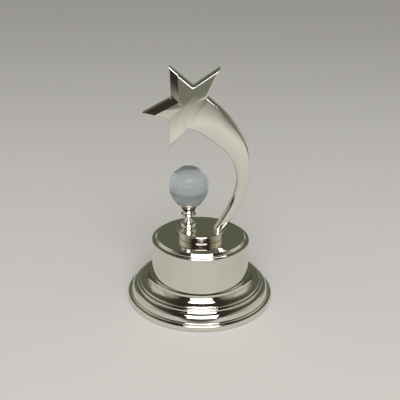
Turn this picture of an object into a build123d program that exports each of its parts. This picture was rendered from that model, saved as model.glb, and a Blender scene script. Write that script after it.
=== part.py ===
from build123d import *
import math
import os

# Star trophy: a polished comet-star casting and a glass ball on a turned, weighted base.
# Millimetres, +Z up, origin at the centre of the underside. The star faces -Y.

# --- driving dimensions -------------------------------------------------------------------
BASE_R = 55.0            # widest band of the foot
DRUM_R = 36.5            # drum wall, outside
DRUM_TOP = 49.5          # height of the drum's flat top
SHEET = 1.2              # wall of the spun shells
DISC_R = 17.7            # small step disc on the drum
DISC_H = 5.5
BALL_R = 15.0            # crystal ball
BALL_Z = 89.6            # height of the ball's centre
FIGURE_Y = -4.5          # plane that the star, the ball and their fixings lie in
BALL_X = -9.0            # axis of the ball stand
FOOT_X = 12.6            # axis of the star's foot
STAR_T = 12.5            # thickness of the star at its outline
PEAK = 1.0               # how far the facets rise above that outline, front and back

# --- heights and clearances -----------------------------------------------------------------
FELT_T = 1.0
EDGE_GAP = 0.3           # lowest edge of the foot stands this far above the table
BOARD_T = 3.0
BOARD_R = 52.6
LEDGE_R = 50.6           # the board bears on the ring between these radii
LEDGE_Z = FELT_T + BOARD_T
SHELF_Z = 19.0           # the drum stands on the foot here
SPIGOT_R = DRUM_R - SHEET - 0.15
SPIGOT_H = 1.2
CHANNEL_Z = 12.9         # floor of the channel between the foot's ring and its cove
UNDER_SHELF_Z = 11.7     # underside of that channel, where the ballast bears
BALLAST_R = 44.0
BRACE_R = 26.0
BRACE_T = 2.0
BRACE_Z = DRUM_TOP - SHEET - BRACE_T
DISC_TOP = DRUM_TOP + DISC_H
FERRULE_R = 3.0
FERRULE_H = 2.5
CUP_Z = 68.8             # underside of the ball cup
CUP_RIM_R = 8.8
CUP_LIP = 0.6            # radius of the bead around the cup's mouth
BOND_T = 0.3             # clear adhesive between the ball and its cup
COLLAR_T = 1.4
FIT = 0.05               # radial clearance of a threaded or located rod

# --- fasteners: nominal radius, clearance hole, nut (across flats, height), washer (radius, thickness)
M4_R, M4_HOLE = 2.0, 2.2
M4_FLATS, M4_NUT_H, M4_WASHER_R, M4_WASHER_T = 7.0, 3.2, 4.5, 0.8
M5_R, M5_HOLE = 2.5, 2.7
M5_FLATS, M5_NUT_H, M5_WASHER_R, M5_WASHER_T = 8.0, 4.0, 5.0, 1.0
TIE_RECESS_R = 8.0       # recess in the ballast for the lower nut
TIE_LOW_FACE = 9.3       # the lower washer bears on the ballast here
M3_R, M3_HEAD_R, M3_LEN = 1.5, 2.8, 8.0
SCREW_PCD_R = 34.0
SCREW_COUNT = 3


def turned(outline):
    """Solid of revolution about Z. The closed outline lists points (r, z) and curved edges."""
    edges = []
    cursor = ends(outline[-1])[1]
    for item in outline:
        start, end = ends(item)
        if (start - cursor).length > 1e-6:
            edges.append(Line(cursor, start))
        if isinstance(item, Edge):
            edges.append(item)
        cursor = end
    return revolve(Plane.XZ * make_face(edges), Axis.Z)


def ends(item):
    if isinstance(item, Edge):
        return item @ 0, item @ 1
    return Vector(*item), Vector(*item)


def arc(start, middle, end):
    return ThreePointArc(start, middle, end)


def oval(centre, rx, rz, start, sweep):
    """Part of an ellipse, from one angle and through another, in degrees."""
    return EllipticalCenterArc(centre, rx, rz, start_angle=start, arc_size=sweep)


def bored(solid, places, radius, z0, z1):
    for x, y in places:
        solid -= Pos(x, y, (z0 + z1) / 2) * Cylinder(radius, z1 - z0)
    return solid


def rod(radius, z0, z1, x=0.0, y=0.0):
    return Pos(x, y, (z0 + z1) / 2) * Cylinder(radius, z1 - z0)


def nut(flats, height, bore, z, x=0.0, y=0.0):
    body = extrude(RegularPolygon(flats / 2, 6, major_radius=False), height) - rod(bore, 0, height)
    return Pos(x, y, z) * body


def washer(radius, thick, bore, z, x=0.0, y=0.0):
    return Pos(x, y, z) * (rod(radius, 0, thick) - rod(bore, 0, thick))


STUD_PLACES = [(BALL_X, FIGURE_Y), (FOOT_X, FIGURE_Y)]


# --- base -----------------------------------------------------------------------------------
def foot_shell():
    """Spun foot: band, bead, bulge, stepped ring, channel, cove and the drum's shelf."""
    edge_r, band_r, bead_r, bulge_r, cove_r = 0.8, 1.0, 0.9, 3.6, 7.2
    band_edge = (BASE_R - band_r, 3.5)
    bead = (52.2, 4.8)
    bulge = (47.9, 7.5)
    ring_foot_z = 11.05
    ring_edge = (47.0, 12.2)
    ring_bead = (45.0, 13.4)
    channel_r = 43.9
    cove = (45.0, 19.2)
    cove_top_r = 37.4
    neck_r, neck_z = 36.6, 16.0       # inside of the cove
    channel_in_r = 38.6
    ring_in_r, ring_in_z = 46.6, 9.8  # inside of the ring
    bulge_in = (48.6, 9.6)
    ledge_in_z = 6.6
    board_gap = 0.2
    outside = [
        (BASE_R - edge_r, EDGE_GAP),
        oval((BASE_R - edge_r, EDGE_GAP + edge_r), edge_r, edge_r, -90, 90),
        oval(band_edge, band_r, band_r, 0, 90),
        (bead[0] + bead_r, band_edge[1] + band_r),
        oval(bead, bead_r, bead_r, 0, 90),
        oval(bulge, bulge_r, bulge_r, 18, 57),
        (ring_edge[0] + bead_r, ring_foot_z),
        oval(ring_edge, bead_r, bead_r, 0, 90),
        (ring_bead[0] + bead_r, ring_edge[1] + bead_r),
        oval(ring_bead, bead_r, bead_r, 0, 150),
        (channel_r, CHANNEL_Z),
        oval(cove, cove_r, cove_r, -119, -58),
        (cove_top_r, SHELF_Z),
        (SPIGOT_R, SHELF_Z),
        (SPIGOT_R, SHELF_Z + SPIGOT_H),
        (M5_HOLE, SHELF_Z + SPIGOT_H),
    ]
    inside = [
        (M5_HOLE, SHELF_Z),
        (SPIGOT_R - SHEET, SHELF_Z),
        (SPIGOT_R - SHEET, SHELF_Z - SHEET),
        (neck_r, SHELF_Z - SHEET),
        (neck_r, neck_z),
        (channel_in_r, UNDER_SHELF_Z),
        (ring_in_r, UNDER_SHELF_Z),
        (ring_in_r, ring_in_z),
        bulge_in,
        (LEDGE_R, ledge_in_z),
        (LEDGE_R, LEDGE_Z),
        (BOARD_R + board_gap, LEDGE_Z),
        (BOARD_R + board_gap, EDGE_GAP),
    ]
    return turned(outside + inside)


def drum_shell():
    """Drawn cup turned over: straight wall, stepped and bevelled shoulder, flat top with holes."""
    edge_r, crest_r = 1.2, 0.8
    step_r, step_z = 33.9, 47.2
    bevel_low = (33.8, 47.75)
    crest = (32.0, DRUM_TOP - crest_r)
    crest_in_r, step_in_r, edge_in_r = 31.7, 32.7, 34.9
    wall_top_z = 45.6
    shape = turned([
        (DRUM_R, SHELF_Z),
        oval((DRUM_R - edge_r, step_z - edge_r), edge_r, edge_r, 0, 90),
        (step_r, step_z),
        bevel_low,
        oval(crest, crest_r, crest_r, 40, 50),
        (M5_HOLE, DRUM_TOP),
        (M5_HOLE, DRUM_TOP - SHEET),
        (crest_in_r, DRUM_TOP - SHEET),
        (step_in_r, step_z),
        (step_in_r, step_z - SHEET),
        (edge_in_r, step_z - SHEET),
        (DRUM_R - SHEET, wall_top_z),
        (DRUM_R - SHEET, SHELF_Z),
    ])
    return bored(shape, STUD_PLACES, M4_HOLE, DRUM_TOP - 3, DRUM_TOP + 1)


def drum_brace():
    shape = rod(BRACE_R, BRACE_Z, BRACE_Z + BRACE_T)
    shape = bored(shape, [(0, 0)], M5_HOLE, BRACE_Z - 1, BRACE_Z + BRACE_T + 1)
    return bored(shape, STUD_PLACES, M4_HOLE, BRACE_Z - 1, BRACE_Z + BRACE_T + 1)


def step_disc():
    """Turned disc with rounded edges, tapped from below for the tie rod."""
    low_r, top_r = 0.5, 1.0
    shape = turned([
        (0, DRUM_TOP),
        oval((DISC_R - low_r, DRUM_TOP + low_r), low_r, low_r, -90, 90),
        oval((DISC_R - top_r, DISC_TOP - top_r), top_r, top_r, 0, 90),
        (0, DISC_TOP),
    ])
    shape = bored(shape, [(0, 0)], M5_R + FIT, DRUM_TOP - 1, DISC_TOP - 1.2)
    return bored(shape, STUD_PLACES, M4_HOLE, DRUM_TOP - 1, DISC_TOP + 1)


def ballast_disc():
    """Cast iron weight, recessed below for the tie rod's nut and tapped for the board's screws."""
    shape = rod(BALLAST_R, LEDGE_Z, UNDER_SHELF_Z)
    shape = bored(shape, [(0, 0)], M5_HOLE, LEDGE_Z - 1, UNDER_SHELF_Z + 1)
    shape = bored(shape, [(0, 0)], TIE_RECESS_R, LEDGE_Z - 1, TIE_LOW_FACE)
    return bored(shape, screw_places(), M3_R + FIT, LEDGE_Z - 1, FELT_T + M3_LEN + 0.5)


def base_board():
    shape = rod(BOARD_R, FELT_T, LEDGE_Z)
    for x, y in screw_places():
        shape -= Pos(x, y, 0) * screw_shape(FIT)
    return shape


def felt_pad():
    return rod(BOARD_R - 1.0, 0, FELT_T)


# --- fixings --------------------------------------------------------------------------------
def tie_rod():
    return rod(M5_R, LEDGE_Z + 0.1, DISC_TOP - 1.6)


def tie_nuts():
    upper = nut(M5_FLATS, M5_NUT_H, M5_R + FIT, BRACE_Z - M5_WASHER_T - M5_NUT_H)
    lower = nut(M5_FLATS, M5_NUT_H, M5_R + FIT, TIE_LOW_FACE - M5_WASHER_T - M5_NUT_H)
    return [upper, lower]


def tie_washers():
    upper = washer(M5_WASHER_R, M5_WASHER_T, M5_HOLE, BRACE_Z - M5_WASHER_T)
    lower = washer(M5_WASHER_R, M5_WASHER_T, M5_HOLE, TIE_LOW_FACE - M5_WASHER_T)
    return [upper, lower]


def stud_washers():
    return [washer(M4_WASHER_R, M4_WASHER_T, M4_HOLE, BRACE_Z - M4_WASHER_T, x, y)
            for x, y in STUD_PLACES]


def stud_nuts():
    z = BRACE_Z - M4_WASHER_T - M4_NUT_H
    return [nut(M4_FLATS, M4_NUT_H, M4_R + FIT, z, x, y) for x, y in STUD_PLACES]


def screw_places():
    places = []
    for i in range(SCREW_COUNT):
        a = 2 * math.pi * i / SCREW_COUNT
        places.append((SCREW_PCD_R * math.cos(a), SCREW_PCD_R * math.sin(a)))
    return places


def screw_shape(extra=0.0):
    """Countersunk screw pointing up, its head flush with the board's underside."""
    head = M3_HEAD_R - M3_R
    return turned([
        (0, FELT_T),
        (M3_HEAD_R + extra, FELT_T),
        (M3_R + extra, FELT_T + head),
        (M3_R + extra, FELT_T + M3_LEN),
        (0, FELT_T + M3_LEN),
    ])


def board_screws():
    return [Pos(x, y, 0) * screw_shape() for x, y in screw_places()]


# --- ball stand -----------------------------------------------------------------------------
STUD_LOW = BRACE_Z - M4_WASHER_T - M4_NUT_H - 1.0
STUD_DEPTH = 5.5         # how far the stud goes up into the stem
TENON_R, TENON_H = 1.6, 3.0


def at_stand(shape):
    return Pos(BALL_X, FIGURE_Y, 0) * shape


def ball_stem():
    """Turned baluster: foot ring, round bulb, slim neck and a tenon that enters the cup."""
    z = DISC_TOP
    top = CUP_Z - COLLAR_T
    bulb_r = 3.0
    bulb = (2.6, z + 3.9)
    neck_foot = (3.63, z + 6.72)
    waist = (2.5, z + 9.6)
    shape = turned([
        (0, z),
        (6.1, z),
        arc((6.1, z), (6.5, z + 0.8), (5.8, z + 1.5)),
        oval(bulb, bulb_r, bulb_r, -45, 115),
        arc(neck_foot, (2.75, z + 8.0), waist),
        arc(waist, (2.8, z + 11.2), (4.0, top)),
        (TENON_R, top),
        (TENON_R, CUP_Z + TENON_H),
        (0, CUP_Z + TENON_H),
    ])
    return at_stand(shape - rod(M4_R + FIT, z - 1, z + STUD_DEPTH))


def ball_stud():
    return at_stand(rod(M4_R, STUD_LOW, DISC_TOP + STUD_DEPTH - 0.5))


def ball_collar():
    low = CUP_Z - COLLAR_T
    return at_stand(turned([
        (TENON_R + FIT, low),
        (5.1, low),
        arc((5.1, low), (5.6, low + COLLAR_T / 2), (5.1, CUP_Z)),
        (TENON_R + FIT, CUP_Z),
    ]))


def ball_cup():
    """Flared cup with a beaded mouth, turned to the ball's curve with room for the adhesive."""
    foot_r = 4.3
    rim_z = BALL_Z - math.sqrt((BALL_R + BOND_T) ** 2 - CUP_RIM_R ** 2)
    lip = oval((CUP_RIM_R, rim_z), CUP_LIP, CUP_LIP, -60, 180)
    shape = turned([
        (0, CUP_Z),
        (foot_r, CUP_Z),
        arc((foot_r, CUP_Z), (foot_r + 1.0, CUP_Z + 3.8), lip @ 0),
        lip,
        (0, (lip @ 1).Y),
    ])
    shape -= Pos(0, 0, BALL_Z) * Sphere(BALL_R + BOND_T)
    shape -= rod(TENON_R + FIT, CUP_Z - 1, CUP_Z + TENON_H + 0.3)
    return at_stand(shape)


def ball_bond():
    lens = Pos(0, 0, BALL_Z) * (Sphere(BALL_R + BOND_T) - Sphere(BALL_R))
    return at_stand(lens & rod(CUP_RIM_R - CUP_LIP, CUP_Z, BALL_Z))


def crystal_ball():
    return at_stand(Pos(0, 0, BALL_Z) * Sphere(BALL_R))


# --- star figure ----------------------------------------------------------------------------
# Tips and notches of the star, (x, z), clockwise from the upper left arm. The arm between
# notches 3 and 4 is the tail.
STAR = [
    (-22.8, 174.6), (-6.6, 161.6),
    (11.2, 174.0), (2.8, 154.8),
    (-9.4, 133.2), (-22.8, 119.6),
    (-22.7, 140.2), (-41.0, 143.0),
    (-22.0, 153.6),
]
STAR_CENTRE = (-13.5, 148.0)

# Stations along the tail: outer edge (x, z), inner edge (x, z), thickness
TAIL = [
    ((-4.5, 156.5), (-15.5, 137.0), 11.4),
    ((2.9, 154.5), (-9.2, 133.4), 12.2),
    ((11.9, 147.3), (-2.5, 130.6), 11.8),
    ((19.4, 139.9), (3.9, 126.6), 11.2),
    ((26.3, 130.5), (11.4, 121.1), 10.4),
    ((31.2, 121.0), (17.8, 115.0), 9.6),
    ((33.6, 109.5), (22.5, 107.4), 8.8),
    ((34.3, 98.0), (24.6, 98.0), 8.0),
    ((32.8, 87.3), (24.1, 89.3), 7.2),
    ((28.4, 75.5), (21.1, 79.2), 6.5),
    ((21.0, 63.5), (15.4, 67.4), 5.9),
    ((13.8, 53.6), (9.2, 57.2), 5.4),
]


def star_body():
    """Faceted star: flat sides, and facets that rise from each edge to a peak front and back."""
    half = STAR_T / 2
    count = len(STAR)
    front = [Vector(x, FIGURE_Y - half, z) for x, z in STAR]
    back = [Vector(x, FIGURE_Y + half, z) for x, z in STAR]
    peaks = [Vector(STAR_CENTRE[0], FIGURE_Y + s * (half + PEAK), STAR_CENTRE[1]) for s in (-1, 1)]
    faces = []
    for i in range(count):
        j = (i + 1) % count
        faces.append(flat_face(front[i], front[j], peaks[0]))
        faces.append(flat_face(back[i], back[j], peaks[1]))
        faces.append(flat_face(front[i], front[j], back[j], back[i]))
    return Solid(Shell(faces))


def flat_face(*corners):
    return Face(Wire.make_polygon(corners, close=True))


def tail_section(outer, inner, thick):
    """Rounded section across the tail, square to the line from its outer to its inner edge."""
    width = math.dist(outer, inner)
    middle = Vector((outer[0] + inner[0]) / 2, FIGURE_Y, (outer[1] + inner[1]) / 2)
    across = Vector(outer[0] - inner[0], 0, outer[1] - inner[1]).normalized()
    along = across.cross(Vector(0, 1, 0))
    plane = Plane(origin=middle, x_dir=across, z_dir=along)
    corner = 0.42 * min(width, thick)
    return plane * RectangleRounded(width, thick, corner)


def star_figure():
    """One casting: star, comet tail and the threaded spigot under the tail."""
    tail = loft([tail_section(*station) for station in TAIL])
    foot_z = DISC_TOP + FERRULE_H
    tail &= Pos(0, 0, foot_z + 100) * Box(200, 200, 200)
    spigot = rod(M4_R, STUD_LOW, foot_z + 1.5, FOOT_X, FIGURE_Y)
    return star_body() + tail + spigot


def star_ferrule():
    low = DISC_TOP
    high = low + FERRULE_H
    shape = turned([
        (M4_R + FIT, low),
        (FERRULE_R, low),
        arc((FERRULE_R, low), (FERRULE_R + 0.3, low + FERRULE_H / 2), (FERRULE_R - 0.2, high)),
        (M4_R + FIT, high),
    ])
    return Pos(FOOT_X, FIGURE_Y, 0) * shape


NODES = {
    "foot_shell": foot_shell,
    "drum_shell": drum_shell,
    "drum_brace": drum_brace,
    "step_disc": step_disc,
    "ballast_disc": ballast_disc,
    "base_board": base_board,
    "felt_pad": felt_pad,
    "board_screws": board_screws,
    "tie_rod": tie_rod,
    "tie_nuts": tie_nuts,
    "tie_washers": tie_washers,
    "stud_washers": stud_washers,
    "stud_nuts": stud_nuts,
    "ball_stem": ball_stem,
    "ball_stud": ball_stud,
    "ball_collar": ball_collar,
    "ball_cup": ball_cup,
    "ball_bond": ball_bond,
    "crystal_ball": crystal_ball,
    "star_figure": star_figure,
    "star_ferrule": star_ferrule,
}

os.makedirs("parts", exist_ok=True)
for name, make in NODES.items():
    shape = make()
    if isinstance(shape, list):
        shape = Compound(children=shape)
    export_step(shape, f"parts/{name}.step")
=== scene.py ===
import math

import bmesh
import bpy
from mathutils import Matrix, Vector

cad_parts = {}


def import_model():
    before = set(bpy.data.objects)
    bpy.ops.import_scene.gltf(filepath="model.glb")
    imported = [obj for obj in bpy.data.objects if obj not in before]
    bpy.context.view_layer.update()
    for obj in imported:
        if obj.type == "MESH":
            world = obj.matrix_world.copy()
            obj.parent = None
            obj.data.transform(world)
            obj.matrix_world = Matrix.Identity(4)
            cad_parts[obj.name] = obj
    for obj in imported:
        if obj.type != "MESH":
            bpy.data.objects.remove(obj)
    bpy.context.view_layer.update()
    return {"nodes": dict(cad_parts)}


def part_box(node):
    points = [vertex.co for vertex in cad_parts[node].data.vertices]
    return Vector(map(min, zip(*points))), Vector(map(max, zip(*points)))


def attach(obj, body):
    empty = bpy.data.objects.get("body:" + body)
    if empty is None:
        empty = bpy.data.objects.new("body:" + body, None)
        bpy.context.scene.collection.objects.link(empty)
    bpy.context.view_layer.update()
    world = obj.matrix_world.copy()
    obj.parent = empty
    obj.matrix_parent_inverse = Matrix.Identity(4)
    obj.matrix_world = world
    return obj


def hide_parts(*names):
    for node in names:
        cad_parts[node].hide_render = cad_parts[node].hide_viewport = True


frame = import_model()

MM = 0.001
MIX_FIRST, MIX_SECOND, MIX_OUT = 6, 7, 2      # colour sockets of the Mix node


# --- node helpers -----------------------------------------------------------------------------
def new_material(name):
    """Empty Principled material: the material, its tree and its shader."""
    material = bpy.data.materials.new(name)
    material.use_nodes = True
    tree = material.node_tree
    tree.nodes.clear()
    output = tree.nodes.new("ShaderNodeOutputMaterial")
    shader = tree.nodes.new("ShaderNodeBsdfPrincipled")
    tree.links.new(shader.outputs["BSDF"], output.inputs["Surface"])
    return material, tree, shader


def object_coords(tree, scale=(1, 1, 1)):
    """Object coordinates, in metres, stretched by the scale."""
    coords = tree.nodes.new("ShaderNodeTexCoord")
    mapping = tree.nodes.new("ShaderNodeMapping")
    mapping.inputs["Scale"].default_value = scale
    tree.links.new(coords.outputs["Object"], mapping.inputs["Vector"])
    return mapping.outputs["Vector"]


def noise(tree, vector, scale, detail=3.0, rough=0.5):
    node = tree.nodes.new("ShaderNodeTexNoise")
    node.inputs["Scale"].default_value = scale
    node.inputs["Detail"].default_value = detail
    node.inputs["Roughness"].default_value = rough
    tree.links.new(vector, node.inputs["Vector"])
    return node.outputs["Fac"]


def ramp(tree, value, stops):
    """Colour or grey ramp: stops are (position, colour or grey)."""
    node = tree.nodes.new("ShaderNodeValToRGB")
    elements = node.color_ramp.elements
    while len(elements) < len(stops):
        elements.new(0.5)
    for element, (position, colour) in zip(elements, stops):
        element.position = position
        if not isinstance(colour, tuple):
            colour = (colour, colour, colour)
        element.color = (*colour, 1)
    tree.links.new(value, node.inputs["Fac"])
    return node.outputs["Color"]


def calc(tree, operation, value, other=None):
    """Math node on sockets or plain numbers."""
    node = tree.nodes.new("ShaderNodeMath")
    node.operation = operation
    for socket, item in zip(node.inputs, (value, other)):
        if isinstance(item, float):
            socket.default_value = item
        elif item is not None:
            tree.links.new(item, socket)
    return node.outputs["Value"]


def mixed(tree, factor, first, second):
    """Blend from the first colour to the second. Each is a socket or an RGB tuple."""
    node = tree.nodes.new("ShaderNodeMix")
    node.data_type = "RGBA"
    tree.links.new(factor, node.inputs["Factor"])
    for index, item in ((MIX_FIRST, first), (MIX_SECOND, second)):
        if isinstance(item, tuple):
            node.inputs[index].default_value = (*item, 1)
        else:
            tree.links.new(item, node.inputs[index])
    return node.outputs[MIX_OUT]


def drive(tree, shader, socket, value, stops):
    """Feeds one input of the shader from a value, through a ramp."""
    tree.links.new(ramp(tree, value, stops), shader.inputs[socket])


def bump(tree, shader, height, strength, distance):
    node = tree.nodes.new("ShaderNodeBump")
    node.inputs["Strength"].default_value = strength
    node.inputs["Distance"].default_value = distance
    tree.links.new(height, node.inputs["Height"])
    tree.links.new(node.outputs["Normal"], shader.inputs["Normal"])


# --- materials ----------------------------------------------------------------------------------
NICKEL_TINT = (0.80, 0.775, 0.71)


def nickel(name, tint, rough_low, rough_high):
    """Mirror-polished nickel plate: faint warm tint, patchy polish and fine wipe marks."""
    material, tree, shader = new_material(name)
    vector = object_coords(tree)
    shader.inputs["Metallic"].default_value = 1.0
    cloud = noise(tree, vector, 45, 4)
    dark = tuple(0.94 * c for c in tint)
    drive(tree, shader, "Base Color", cloud, [(0.3, dark), (0.7, tint)])
    smear = noise(tree, object_coords(tree, (1, 1, 0.25)), 220, 5, 0.6)
    drive(tree, shader, "Roughness", smear, [(0.3, rough_low), (0.75, rough_high)])
    return material


def crystal():
    """Solid glass with a cool tint, the faint cloudiness of a cast ball and a painted highlight: a bright
    rim painted into the colour towards the outline.
    """
    material, tree, shader = new_material("crystal_glass")
    cloud = noise(tree, object_coords(tree), 160, 5, 0.6)
    body = ramp(tree, cloud, [(0.3, (0.48, 0.515, 0.53)), (0.7, (0.62, 0.655, 0.67))])
    facing = tree.nodes.new("ShaderNodeLayerWeight").outputs["Facing"]
    # painted highlight: a pale rim colour towards the outline as seen from the view, with less transmission
    # there
    rim = ramp(tree, facing, [(0.72, 0.0), (0.90, 1.0)])
    tree.links.new(mixed(tree, rim, body, (0.86, 0.88, 0.88)), shader.inputs["Base Color"])
    drive(tree, shader, "Transmission Weight", facing, [(0.72, 0.78), (0.92, 0.25)])
    shader.inputs["Specular Tint"].default_value = (0.25, 0.25, 0.25, 1)
    shader.inputs["IOR"].default_value = 1.52
    shader.inputs["Roughness"].default_value = 0.07
    return material


def bond():
    """Clear adhesive with a little haze."""
    material, tree, shader = new_material("clear_bond")
    haze = noise(tree, object_coords(tree), 400, 3)
    drive(tree, shader, "Base Color", haze, [(0.3, 0.85), (0.7, 0.97)])
    drive(tree, shader, "Roughness", haze, [(0.3, 0.05), (0.7, 0.16)])
    shader.inputs["Transmission Weight"].default_value = 0.9
    shader.inputs["IOR"].default_value = 1.48
    return material


def zinc_steel():
    """Zinc-plated fixings: satin, slightly blue, with a fine grain."""
    material, tree, shader = new_material("zinc_steel")
    shader.inputs["Metallic"].default_value = 1.0
    grain = noise(tree, object_coords(tree, (1, 1, 0.2)), 900, 4, 0.6)
    drive(tree, shader, "Base Color", grain, [(0.3, (0.50, 0.52, 0.54)), (0.7, (0.66, 0.67, 0.68))])
    drive(tree, shader, "Roughness", grain, [(0.3, 0.25), (0.7, 0.42)])
    bump(tree, shader, grain, 0.15, 0.0001)
    return material


def cast_iron():
    """Sand-cast weight: dark, granular, dull."""
    material, tree, shader = new_material("cast_iron")
    shader.inputs["Metallic"].default_value = 0.7
    sand = noise(tree, object_coords(tree), 700, 6, 0.7)
    drive(tree, shader, "Base Color", sand, [(0.3, (0.05, 0.048, 0.045)), (0.75, (0.13, 0.125, 0.12))])
    drive(tree, shader, "Roughness", sand, [(0.3, 0.62), (0.7, 0.85)])
    bump(tree, shader, sand, 0.5, 0.0003)
    return material


def fibreboard():
    """Pressed board: brown, with short fibres."""
    material, tree, shader = new_material("fibreboard")
    fibre = noise(tree, object_coords(tree, (1, 0.3, 1)), 500, 5, 0.65)
    drive(tree, shader, "Base Color", fibre, [(0.3, (0.15, 0.09, 0.05)), (0.7, (0.26, 0.17, 0.10))])
    shader.inputs["Roughness"].default_value = 0.85
    bump(tree, shader, fibre, 0.3, 0.0002)
    return material


def felt():
    """Dark green felt with a matted pile."""
    material, tree, shader = new_material("felt")
    pile = noise(tree, object_coords(tree), 1200, 6, 0.75)
    drive(tree, shader, "Base Color", pile, [(0.3, (0.008, 0.022, 0.014)), (0.7, (0.03, 0.065, 0.045))])
    shader.inputs["Roughness"].default_value = 1.0
    shader.inputs["Sheen Weight"].default_value = 0.3
    bump(tree, shader, pile, 0.6, 0.0004)
    return material


# --- star figure --------------------------------------------------------------------------------
# Outline in millimetres, (x, z), as the casting has it.
A, A_B, B, B_TAIL = (-22.8, 174.6), (-6.6, 161.6), (11.2, 174.0), (2.8, 154.8)
TAIL_D, D, D_E, E, E_A = (-9.4, 133.2), (-22.8, 119.6), (-22.7, 140.2), (-41.0, 143.0), (-22.0, 153.6)
STAR_EDGES = [(A, A_B), (A_B, B), (B, B_TAIL), (TAIL_D, D), (D, D_E), (D_E, E), (E, E_A), (E_A, A)]
HEART = (-13.5, 148.0)      # where the star's facets meet

# The two edges beside the notch E_A are ground to bevels: edge, width of the bevel, slope
BEVELS = [(E, E_A, 4.9, 0.42), (E_A, A, 5.9, 0.42)]

# Stations down the tail: outer edge, inner edge, thickness, rise of the crown
TAIL = [
    (B_TAIL, TAIL_D, 12.5, 0.20),
    ((11.9, 147.3), (-2.5, 130.6), 12.0, 0.40),
    ((19.4, 139.9), (3.9, 126.6), 11.3, 0.55),
    ((26.3, 130.5), (11.4, 121.1), 10.5, 0.60),
    ((31.2, 121.0), (17.8, 115.0), 9.7, 0.60),
    ((33.6, 109.5), (22.5, 107.4), 8.9, 0.50),
    ((34.3, 98.0), (24.6, 98.0), 8.1, 0.40),
    ((32.8, 87.3), (24.1, 89.3), 7.4, 0.35),
    ((28.4, 75.5), (21.1, 79.2), 6.7, 0.35),
    ((21.6, 64.2), (14.6, 66.2), 6.1, 0.35),
    ((16.6, 57.5), (9.4, 57.5), 5.6, 0.35),
]
TAIL_STEPS = 7              # rows between two stations
FACET_RISE = 0.13           # how far the heart stands above the outline
RIDGE_SOFTNESS = 0.01       # rounds the facets off at the heart
RIM_ROUND = 0.9             # radius of the polished rim
HOLLOW_W, HOLLOW_SLOPE = 2.6, 0.5       # ground flat along the inner edge of the lower tail
HOLLOW_TOP, HOLLOW_FULL = 114, 92       # heights where that flat starts and has its full width
BLEND_RING = (0.55, -0.35)  # rings between which the star's front turns into the tail's crown
BLEND_STATION = (-0.9, 1.6)             # and the same along the tail, in stations

# Mesh spacing: rings from the outline (0) to the heart (1), and half of a row across the tail
RINGS = [0.0, 0.012, 0.03, 0.055, 0.085, 0.12, 0.165, 0.22, 0.29, 0.37, 0.46, 0.56, 0.67, 0.79, 0.91]
ACROSS = [0.0, 0.008, 0.02, 0.04, 0.065, 0.10, 0.15, 0.22, 0.30, 0.40, 0.50]
EDGE_STEPS = 16             # points along each edge of the star
SPIGOT_R, SPIGOT_SIDES, SPIGOT_CHAMFER = 2.0, 28, 0.4
SPIGOT_REACH = 0.5          # how far the spigot runs into the tail's foot
SHARP_ANGLE = math.radians(32)          # edges that turn harder stay sharp


def between(a, b, t):
    """Point at the share t of the way from a to b."""
    return tuple(u + (v - u) * t for u, v in zip(a, b))


def apart(p, a, b):
    """Distance from p to the stretch a-b."""
    ux, uz = b[0] - a[0], b[1] - a[1]
    t = ((p[0] - a[0]) * ux + (p[1] - a[1]) * uz) / (ux * ux + uz * uz)
    t = min(1.0, max(0.0, t))
    return math.hypot(p[0] - a[0] - t * ux, p[1] - a[1] - t * uz)


def inward(a, b):
    """Unit vector square to the edge a-b, towards the inside of the star."""
    ux, uz = b[0] - a[0], b[1] - a[1]
    size = math.hypot(ux, uz)
    return uz / size, -ux / size


def depth(p, a, b):
    """How far p lies inside the endless line through a and b."""
    nx, nz = inward(a, b)
    return (p[0] - a[0]) * nx + (p[1] - a[1]) * nz


def bevel_drops(p):
    """How far each bevel's plane lies below the front at p."""
    return [slope * (width - depth(p, a, b)) for a, b, width, slope in BEVELS]


def curve_through(values, t):
    """Catmull-Rom curve through a list of tuples; t runs from 0 to len - 1."""
    i = min(int(t), len(values) - 2)
    f = t - i
    p = [values[min(max(k, 0), len(values) - 1)] for k in (i - 1, i, i + 1, i + 2)]
    return tuple(
        0.5 * (2 * b + (c - a) * f + (2 * a - 5 * b + 4 * c - d) * f * f + (3 * b - a - 3 * c + d) * f ** 3)
        for a, b, c, d in zip(*p)
    )


def smooth(low, high, value):
    """Soft step from 0 at low to 1 at high."""
    t = min(1.0, max(0.0, (value - low) / (high - low)))
    return t * t * (3 - 2 * t)


def along_tail(column):
    """One column of the stations, as a smooth curve down the tail."""
    rows = [station[column] for station in TAIL]
    rows = [row if isinstance(row, tuple) else (row,) for row in rows]
    return [curve_through(rows, i / TAIL_STEPS) for i in range((len(TAIL) - 1) * TAIL_STEPS + 1)]


OUTER, INNER, THICK, CROWN = (along_tail(column) for column in range(4))


def to_line(p, line):
    """Distance from p to a line of points."""
    return min(apart(p, a, b) for a, b in zip(line, line[1:]))


def half_thickness(p, thick, facet, tailness, crown):
    """Half the casting's thickness at p: flat star with low facets, crowned tail, rounded rim."""
    outer, inner = to_line(p, OUTER), to_line(p, INNER)
    star = FACET_RISE * (1 - math.sqrt((1 - facet) ** 2 + RIDGE_SOFTNESS))
    star -= max(0.0, min(bevel_drops(p)))
    t = outer / (outer + inner)
    flat = smooth(HOLLOW_TOP, HOLLOW_FULL, p[1]) * HOLLOW_SLOPE * max(0.0, HOLLOW_W - inner)
    tail = crown * (4 * t * (1 - t) - 1) - flat
    rim = min([outer, inner] + [apart(p, a, b) for a, b in STAR_EDGES])
    inset = RIM_ROUND - min(rim, RIM_ROUND)
    drop = RIM_ROUND - math.sqrt(RIM_ROUND ** 2 - inset ** 2)
    return thick / 2 + (1 - tailness) * star + tailness * tail - drop


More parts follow.
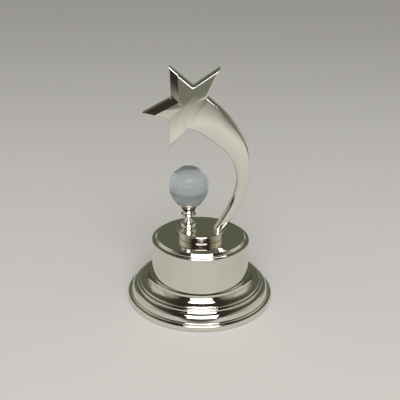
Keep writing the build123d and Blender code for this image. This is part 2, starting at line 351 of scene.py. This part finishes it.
class Sheet:
    """Flat mesh in the star's plane. Each vertex carries what its thickness depends on."""

    def __init__(self):
        self.mesh = bmesh.new()
        self.layer = self.mesh.verts.layers.float_vector.new("shape")
        self.thick = self.mesh.verts.layers.float.new("thick")

    def add(self, p, thick, facet, tailness, crown):
        vert = self.mesh.verts.new((p[0], 0, p[1]))
        vert[self.layer] = Vector((facet, tailness, crown))
        vert[self.thick] = thick
        return vert

    def strip(self, low, high):
        for a, b, c, d in zip(low, low[1:], high[1:], high):
            self.mesh.faces.new((a, b, c, d))

    def cut(self, point, normal):
        parts = list(self.mesh.verts) + list(self.mesh.edges) + list(self.mesh.faces)
        bmesh.ops.bisect_plane(self.mesh, geom=parts, dist=1e-5,
                               plane_co=(point[0], 0, point[1]), plane_no=(normal[0], 0, normal[1]))

    def half(self, vert):
        facet, tailness, crown = vert[self.layer]
        return half_thickness((vert.co.x, vert.co.z), vert[self.thick], facet, tailness, crown)


def star_sheet():
    """Rings from the star's outline to its heart, then rows down the tail."""
    sheet = Sheet()
    spread = ACROSS + [1 - t for t in reversed(ACROSS[:-1])]
    outline, cut = [], []
    for a, b in STAR_EDGES:
        if a == TAIL_D:
            cut = list(range(len(outline), len(outline) + len(spread)))
            outline += [between(TAIL[0][0], TAIL[0][1], t) for t in spread[:-1]]
        outline += [between(a, b, i / EDGE_STEPS) for i in range(EDGE_STEPS)]
    thick, crown = THICK[0][0], CROWN[0][0]
    rings = []
    for ring in RINGS:
        tailness = [smooth(*BLEND_RING, ring) if i in cut else 0.0 for i in range(len(outline))]
        rings.append([
            sheet.add(between(p, HEART, ring), thick, ring, t, crown) for p, t in zip(outline, tailness)
        ])
    for low, high in zip(rings, rings[1:]):
        sheet.strip(low + low[:1], high + high[:1])
    heart = sheet.add(HEART, thick, 1.0, 0.0, crown)
    for a, b in zip(rings[-1], rings[-1][1:] + rings[-1][:1]):
        sheet.mesh.faces.new((a, b, heart))
    row = [rings[0][i] for i in cut]
    for k in range(1, len(OUTER)):
        tailness = smooth(*BLEND_STATION, k / TAIL_STEPS)
        fresh = [
            sheet.add(between(OUTER[k], INNER[k], t), THICK[k][0], 0.0, tailness, CROWN[k][0])
            for t in spread
        ]
        sheet.strip(fresh, row)
        row = fresh
    return sheet


def cut_bevels(sheet):
    """Puts edges along the creases: both bevels' inner borders and the mitre between them."""
    corner = meeting_point()
    for a, b, width, _ in BEVELS:
        normal = inward(a, b)
        sheet.cut((a[0] + normal[0] * width, a[1] + normal[1] * width), normal)
    along = (corner[0] - E_A[0], corner[1] - E_A[1])
    sheet.cut(E_A, (along[1], -along[0]))


def meeting_point():
    """Corner where the inner borders of the two bevels cross."""
    (a, b, w1, _), (c, d, w2, _) = BEVELS
    (n1x, n1z), (n2x, n2z) = inward(a, b), inward(c, d)
    k1, k2 = w1 + a[0] * n1x + a[1] * n1z, w2 + c[0] * n2x + c[1] * n2z
    det = n1x * n2z - n1z * n2x
    return (k1 * n2z - k2 * n1z) / det, (n1x * k2 - n2x * k1) / det


def on_crease(vert):
    """Whether the vertex lies on a bevel's inner border or on the mitre."""
    near = 0.02
    first, second = bevel_drops((vert.co.x, vert.co.z))
    mitre = abs(first / BEVELS[0][2] - second / BEVELS[1][2]) < near and min(first, second) > -near
    return mitre or (abs(first) < near and second > -near) or (abs(second) < near and first > -near)


def star_figure():
    """The casting: the sheet's two thickened sides, the wall around them and the spigot."""
    sheet = star_sheet()
    cut_bevels(sheet)
    flat = sheet.mesh
    flat.verts.index_update()
    total = len(flat.verts)
    halves = [sheet.half(vert) for vert in flat.verts]
    places = [(vert.co.x * MM, vert.co.z * MM) for vert in flat.verts]
    ground = [edge for edge in flat.edges if all(on_crease(v) for v in edge.verts)]
    creases = {tuple(sorted(v.index for v in edge.verts)) for edge in ground}
    centre_y = middle("crystal_ball")[1]
    verts = [(x, centre_y - h * MM, z) for (x, z), h in zip(places, halves)]
    verts += [(x, centre_y + h * MM, z) for (x, z), h in zip(places, halves)]
    faces = [[v.index for v in face.verts] for face in flat.faces]
    faces += [[i + total for i in reversed(face)] for face in faces]
    for edge in flat.edges:
        if edge.is_boundary:
            a, b = (v.index for v in edge.verts)
            faces.append([a, b, b + total, a + total])
    flat.free()
    add_spigot(verts, faces)
    creases |= {(a + total, b + total) for a, b in creases}
    return mesh_object("star_figure_cast", verts, faces, creases)


def add_spigot(verts, faces):
    """Stud under the tail's foot, down through the disc and the drum."""
    x, y, _ = middle("star_ferrule")
    low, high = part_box("star_figure")[0][2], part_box("star_ferrule")[1][2] + SPIGOT_REACH * MM
    profile = [(0.7, low), (0.8, low), (1.0, low + SPIGOT_CHAMFER * MM), (1.0, high)]
    start = len(verts)
    for scale, z in profile:
        r = SPIGOT_R * scale * MM
        for i in range(SPIGOT_SIDES):
            turn = 2 * math.pi * i / SPIGOT_SIDES
            verts.append((x + r * math.cos(turn), y + r * math.sin(turn), z))
    for level in range(len(profile) - 1):
        for i in range(SPIGOT_SIDES):
            j = (i + 1) % SPIGOT_SIDES
            a, b = start + level * SPIGOT_SIDES, start + (level + 1) * SPIGOT_SIDES
            faces.append([a + i, a + j, b + j, b + i])
    faces.append([start + i for i in reversed(range(SPIGOT_SIDES))])
    top = start + (len(profile) - 1) * SPIGOT_SIDES
    faces.append([top + i for i in range(SPIGOT_SIDES)])


def middle(node):
    """Centre of a CAD node's box."""
    low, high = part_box(node)
    return [(a + b) / 2 for a, b in zip(low, high)]


def mesh_object(name, verts, faces, creases):
    """Smooth-shaded object, with sharp edges at the creases and wherever the mesh turns hard."""
    mesh = bpy.data.meshes.new(name)
    mesh.from_pydata(verts, [], faces)
    shape = bmesh.new()
    shape.from_mesh(mesh)
    bmesh.ops.recalc_face_normals(shape, faces=shape.faces)
    for face in shape.faces:
        face.smooth = True
    for edge in shape.edges:
        crease = tuple(sorted(v.index for v in edge.verts)) in creases
        edge.smooth = not crease and edge.calc_face_angle(0) < SHARP_ANGLE
    shape.to_mesh(mesh)
    shape.free()
    obj = bpy.data.objects.new(name, mesh)
    bpy.context.scene.collection.objects.link(obj)
    return obj


# --- studio ------------------------------------------------------------------------------------
CAMERA_AT = (0.0, -0.4064, 0.2426)
CAMERA_TURN = (67.83, -0.84, 0.46)      # degrees
CAMERA_LENS = 54.0                      # mm on a 36 mm frame
PAPER = (0.60, 0.59, 0.56)              # floor around the trophy
SHADE_AHEAD = (0.085, 0.09, 0.062)      # painted shade on the floor's front, straight ahead
SHADE_ASIDE = (0.026, 0.018, 0.016)     # and out to the sides
OLIVE = (0.115, 0.125, 0.09)            # wall behind the trophy
UMBER = (0.04, 0.03, 0.026)             # room in front and ceiling
CREAM = (0.42, 0.405, 0.33)             # walls to the left and right
FLOOR_HALF = 6.0
SHADE_START = [(0.05, 0.0), (0.15, 1.0)]                # shade by the distance ahead, in metres
SHADE_REACH = [(0.44, 0.0), (0.57, 0.45), (0.70, 1.0)]  # shade by the distance from the middle
SHADE_TURN = [(0.36, 0.0), (0.62, 1.0)]                 # from ahead to aside, by X over Y

# Name, place, aim, size, power, colour. The front softbox is two panels with a dark gap at the
# camera's height. The cards are faint and brighten the sides of the mouldings.
BASE_MIDDLE = (0, 0, 0.015)
DRUM_MIDDLE = (0, 0, 0.05)
LIGHTS = [
    ("panel_low", (0.10, -1.44, 0.464), BASE_MIDDLE, (1.20, 0.49), 8.8, (1, 1, 1)),
    ("panel_high", (0.10, -1.06, 1.29), BASE_MIDDLE, (1.24, 0.70), 13.2, (1, 1, 1)),
    ("card_left", (-0.75, 0.15, 0.32), DRUM_MIDDLE, (0.55, 0.50), 0.16, (1, 0.98, 0.9)),
    ("card_right", (0.75, 0.12, 0.30), DRUM_MIDDLE, (0.50, 0.40), 0.10, (1, 0.96, 0.88)),
]
SUN_ENERGY, SUN_SPREAD, SUN_TILT = 1.32, 80, 20         # spread and tilt in degrees


def camera():
    """Camera in front of the trophy, looking down on it."""
    data = bpy.data.cameras.new("camera")
    data.lens = CAMERA_LENS
    data.clip_start = 0.01
    data.clip_end = 50
    obj = bpy.data.objects.new("camera", data)
    obj.location = CAMERA_AT
    obj.rotation_euler = [math.radians(a) for a in CAMERA_TURN]
    bpy.context.scene.collection.objects.link(obj)
    bpy.context.scene.camera = obj


def area_light(name, at, aim, size, power, colour):
    """Rectangular light at a place, turned to its aim."""
    data = bpy.data.lights.new(name, "AREA")
    data.shape = "RECTANGLE"
    data.size, data.size_y = size
    data.energy = power
    data.color = colour
    obj = bpy.data.objects.new(name, data)
    obj.location = at
    direction = Vector(aim) - Vector(at)
    obj.rotation_euler = direction.to_track_quat("-Z", "Y").to_euler()
    bpy.context.scene.collection.objects.link(obj)


def floor():
    """Pale paper sheet. Its front edge carries painted shade, warmer and darker out to the sides."""
    mesh = bpy.data.meshes.new("floor")
    r = FLOOR_HALF
    mesh.from_pydata([(-r, -r, 0), (r, -r, 0), (r, r, 0), (-r, r, 0)], [], [(0, 1, 2, 3)])
    obj = bpy.data.objects.new("floor", mesh)
    bpy.context.scene.collection.objects.link(obj)
    material, tree, shader = new_material("floor_paper")
    split = tree.nodes.new("ShaderNodeSeparateXYZ")
    tree.links.new(object_coords(tree), split.inputs["Vector"])
    ahead = calc(tree, "MULTIPLY", split.outputs["Y"], -1.0)
    reach = tree.nodes.new("ShaderNodeVectorMath")
    reach.operation = "LENGTH"
    tree.links.new(object_coords(tree, (0.9, 1, 0)), reach.inputs[0])
    # painted shade: masks for where the shade colours are painted over the paper
    front = ramp(tree, ahead, SHADE_START)
    far = ramp(tree, reach.outputs["Value"], SHADE_REACH)
    shaded = calc(tree, "MULTIPLY", far, front)
    sideways = calc(tree, "ABSOLUTE", split.outputs["X"])
    aside = calc(tree, "DIVIDE", sideways, calc(tree, "MAXIMUM", ahead, 0.05))
    shade = mixed(tree, ramp(tree, aside, SHADE_TURN), SHADE_AHEAD, SHADE_ASIDE)
    tree.links.new(mixed(tree, shaded, PAPER, shade), shader.inputs["Base Color"])
    shader.inputs["Roughness"].default_value = 0.8
    shader.inputs["Specular IOR Level"].default_value = 0.1
    mesh.materials.append(material)


def world():
    """Dim room: olive wall behind the trophy, cream at the sides, brown in front and above."""
    scene_world = bpy.data.worlds.new("studio")
    bpy.context.scene.world = scene_world
    scene_world.use_nodes = True
    tree = scene_world.node_tree
    tree.nodes.clear()
    output = tree.nodes.new("ShaderNodeOutputWorld")
    background = tree.nodes.new("ShaderNodeBackground")
    coords = tree.nodes.new("ShaderNodeTexCoord")
    split = tree.nodes.new("ShaderNodeSeparateXYZ")
    tree.links.new(coords.outputs["Generated"], split.inputs["Vector"])
    wall = ramp(tree, calc(tree, "ADD", split.outputs["Y"], 0.5), [(0.15, UMBER), (0.55, OLIVE)])
    height = ramp(tree, split.outputs["Z"], [(0.5, 0.0), (0.95, 1.0)])
    sides = ramp(tree, calc(tree, "ABSOLUTE", split.outputs["X"]), [(0.60, 0.0), (0.88, 1.0)])
    walls = mixed(tree, sides, wall, CREAM)
    tree.links.new(mixed(tree, height, walls, UMBER), background.inputs["Color"])
    tree.links.new(background.outputs["Background"], output.inputs["Surface"])


def sun():
    """Broad soft light from above and in front. The polished metal doesn't mirror it."""
    data = bpy.data.lights.new("soft_sun", "SUN")
    data.energy = SUN_ENERGY
    data.angle = math.radians(SUN_SPREAD)
    obj = bpy.data.objects.new("soft_sun", data)
    obj.rotation_euler = (math.radians(SUN_TILT), 0, 0)
    obj.visible_glossy = False
    bpy.context.scene.collection.objects.link(obj)


camera()
floor()
world()
for light in LIGHTS:
    area_light(*light)
sun()
bpy.context.scene.view_settings.view_transform = "Standard"

CAD_MATERIALS = {
    "polished_nickel": nickel("nickel_mirror", NICKEL_TINT, 0.03, 0.07),
    "crystal": crystal(),
    "clear_adhesive": bond(),
    "zinc_steel": zinc_steel(),
    "ballast_iron": cast_iron(),
    "board": fibreboard(),
    "felt": felt(),
}
for obj in frame["nodes"].values():
    obj.data.materials[0] = CAD_MATERIALS[obj.data.materials[0].name]

cast = star_figure()
cast.data.materials.append(nickel("nickel_soft", NICKEL_TINT, 0.06, 0.10))
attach(cast, "root")
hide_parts("star_figure")
